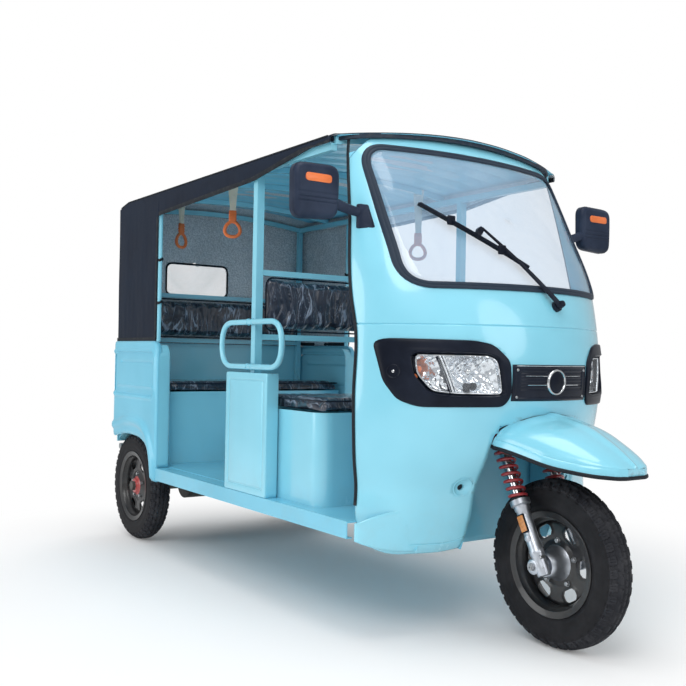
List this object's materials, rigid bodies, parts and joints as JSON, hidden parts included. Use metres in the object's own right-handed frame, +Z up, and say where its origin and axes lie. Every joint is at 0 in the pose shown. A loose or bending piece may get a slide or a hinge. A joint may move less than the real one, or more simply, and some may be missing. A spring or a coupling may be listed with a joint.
{
  "type": "electric passenger tricycle",
  "caption": "Closed-front electric passenger tricycle with a steered front wheel, driven rear wheels, a fabric canopy and benches with lifting lids.",
  "frame": {"origin": "middle of the bounding box on the floor that the tyres stand on", "axes": "+X forward, +Y to the vehicle's left, +Z up"},
  "size_m": [2.896, 1.526, 1.7199],
  "materials": {
    "chassis_frame": "satin black paint on welded steel",
    "floor_pan": "light blue paint",
    "front_shell": "gloss light blue paint",
    "windscreen_glass": "clear laminated glass",
    "windscreen_gasket": "dark rubber seal",
    "front_grille": "black moulding with a plain bright ring",
    "headlamp_bezel_r": "black moulding",
    "headlamp_bezel_l": "black moulding",
    "headlamp_r": "clear lens over a bright reflector",
    "headlamp_l": "clear lens over a bright reflector",
    "front_fender": "gloss light blue with a black rubber edge",
    "mirror_r": "black housing with an orange marker",
    "mirror_l": "black housing with an orange marker",
    "wiper": "black arm and rubber blade",
    "dash_panel": "dark moulding",
    "brake_pedal": "black lever with a rubber pad",
    "roof_frame": "light blue paint on steel tube",
    "roof_lining": "light blue ribbed sheet",
    "canopy_cover": "navy black coated fabric, silver woven inside",
    "rear_window": "clear flexible sheet",
    "side_panel_r": "gloss light blue paint",
    "side_panel_l": "gloss light blue paint",
    "rear_panel": "gloss light blue paint",
    "partition_r": "gloss light blue paint",
    "partition_l": "gloss light blue paint",
    "grab_hoops": "gloss light blue paint on tube",
    "front_seat_box": "gloss light blue paint",
    "rear_seat_box": "gloss light blue paint",
    "front_backrest": "dark vinyl under clear film",
    "rear_backrest": "dark vinyl under clear film",
    "strap_handles": "orange handles on cream straps",
    "battery_pack": "black cases",
    "rear_axle": "black housing with a motor",
    "leaf_springs": "black spring steel",
    "tail_lamps": "red lenses",
    "rear_bumper": "grey paint on tube",
    "fork_stem": "black paint",
    "fork_legs": "silver sliders",
    "fork_springs": "red coil springs",
    "front_axle": "plated steel",
    "handlebar": "black bar with rubber grips",
    "front_tyre": "black ribbed rubber",
    "front_rim": "gloss black paint",
    "rear_tyre_r": "black ribbed rubber",
    "rear_rim_r": "gloss black with a red hub",
    "rear_tyre_l": "black ribbed rubber",
    "rear_rim_l": "gloss black with a red hub",
    "front_seat_lid": "dark vinyl under clear film",
    "rear_seat_lid": "dark vinyl under clear film"
  },
  "bodies": {
    "body": {"chassis_frame": "chassis_frame", "floor_pan": "floor_pan", "front_shell": "front_shell", "windscreen_glass": "windscreen_glass", "windscreen_gasket": "windscreen_gasket", "front_grille": "front_grille", "headlamp_bezel_r": "headlamp_bezel_r", "headlamp_bezel_l": "headlamp_bezel_l", "headlamp_r": "headlamp_r", "headlamp_l": "headlamp_l", "front_fender": "front_fender", "mirror_r": "mirror_r", "mirror_l": "mirror_l", "wiper": "wiper", "dash_panel": "dash_panel", "brake_pedal": "brake_pedal", "roof_frame": "roof_frame", "roof_lining": "roof_lining", "canopy_cover": "canopy_cover", "rear_window": "rear_window", "side_panel_r": "side_panel_r", "side_panel_l": "side_panel_l", "rear_panel": "rear_panel", "partition_r": "partition_r", "partition_l": "partition_l", "grab_hoops": "grab_hoops", "front_seat_box": "front_seat_box", "rear_seat_box": "rear_seat_box", "front_backrest": "front_backrest", "rear_backrest": "rear_backrest", "strap_handles": "strap_handles", "battery_pack": "battery_pack", "rear_axle": "rear_axle", "leaf_springs": "leaf_springs", "tail_lamps": "tail_lamps", "rear_bumper": "rear_bumper"},
    "steering": {"fork_stem": "fork_stem", "fork_legs": "fork_legs", "fork_springs": "fork_springs", "front_axle": "front_axle", "handlebar": "handlebar"},
    "front_wheel": {"front_tyre": "front_tyre", "front_rim": "front_rim"},
    "rear_wheel_r": {"rear_tyre_r": "rear_tyre_r", "rear_rim_r": "rear_rim_r"},
    "rear_wheel_l": {"rear_tyre_l": "rear_tyre_l", "rear_rim_l": "rear_rim_l"},
    "front_lid": {"front_seat_lid": "front_seat_lid"},
    "rear_lid": {"rear_seat_lid": "rear_seat_lid"}
  },
  "joints": [
    {"name": "steering", "type": "hinge", "parent": "body", "child": "steering", "pos_m": [0.80848, 0, 0.88008], "axis": [-0.454, 0, 0.891], "range_deg": [-35, 35]},
    {"name": "front_wheel_spin", "type": "hinge", "parent": "steering", "child": "front_wheel", "pos_m": [1.153, 0, 0.27], "axis": [0, 1, 0], "continuous": true},
    {"name": "rear_wheel_spin_r", "type": "hinge", "parent": "body", "child": "rear_wheel_r", "pos_m": [-1.133, -0.48, 0.262], "axis": [0, 1, 0], "continuous": true},
    {"name": "rear_wheel_spin_l", "type": "hinge", "parent": "body", "child": "rear_wheel_l", "pos_m": [-1.133, 0.48, 0.262], "axis": [0, 1, 0], "continuous": true},
    {"name": "front_seat_lid", "type": "hinge", "parent": "body", "child": "front_lid", "pos_m": [0.11, 0, 0.729], "axis": [0, -1, 0], "range_deg": [0, 70]},
    {"name": "rear_seat_lid", "type": "hinge", "parent": "body", "child": "rear_lid", "pos_m": [-1.239, 0, 0.744], "axis": [0, -1, 0], "range_deg": [0, 55]}
  ]
}
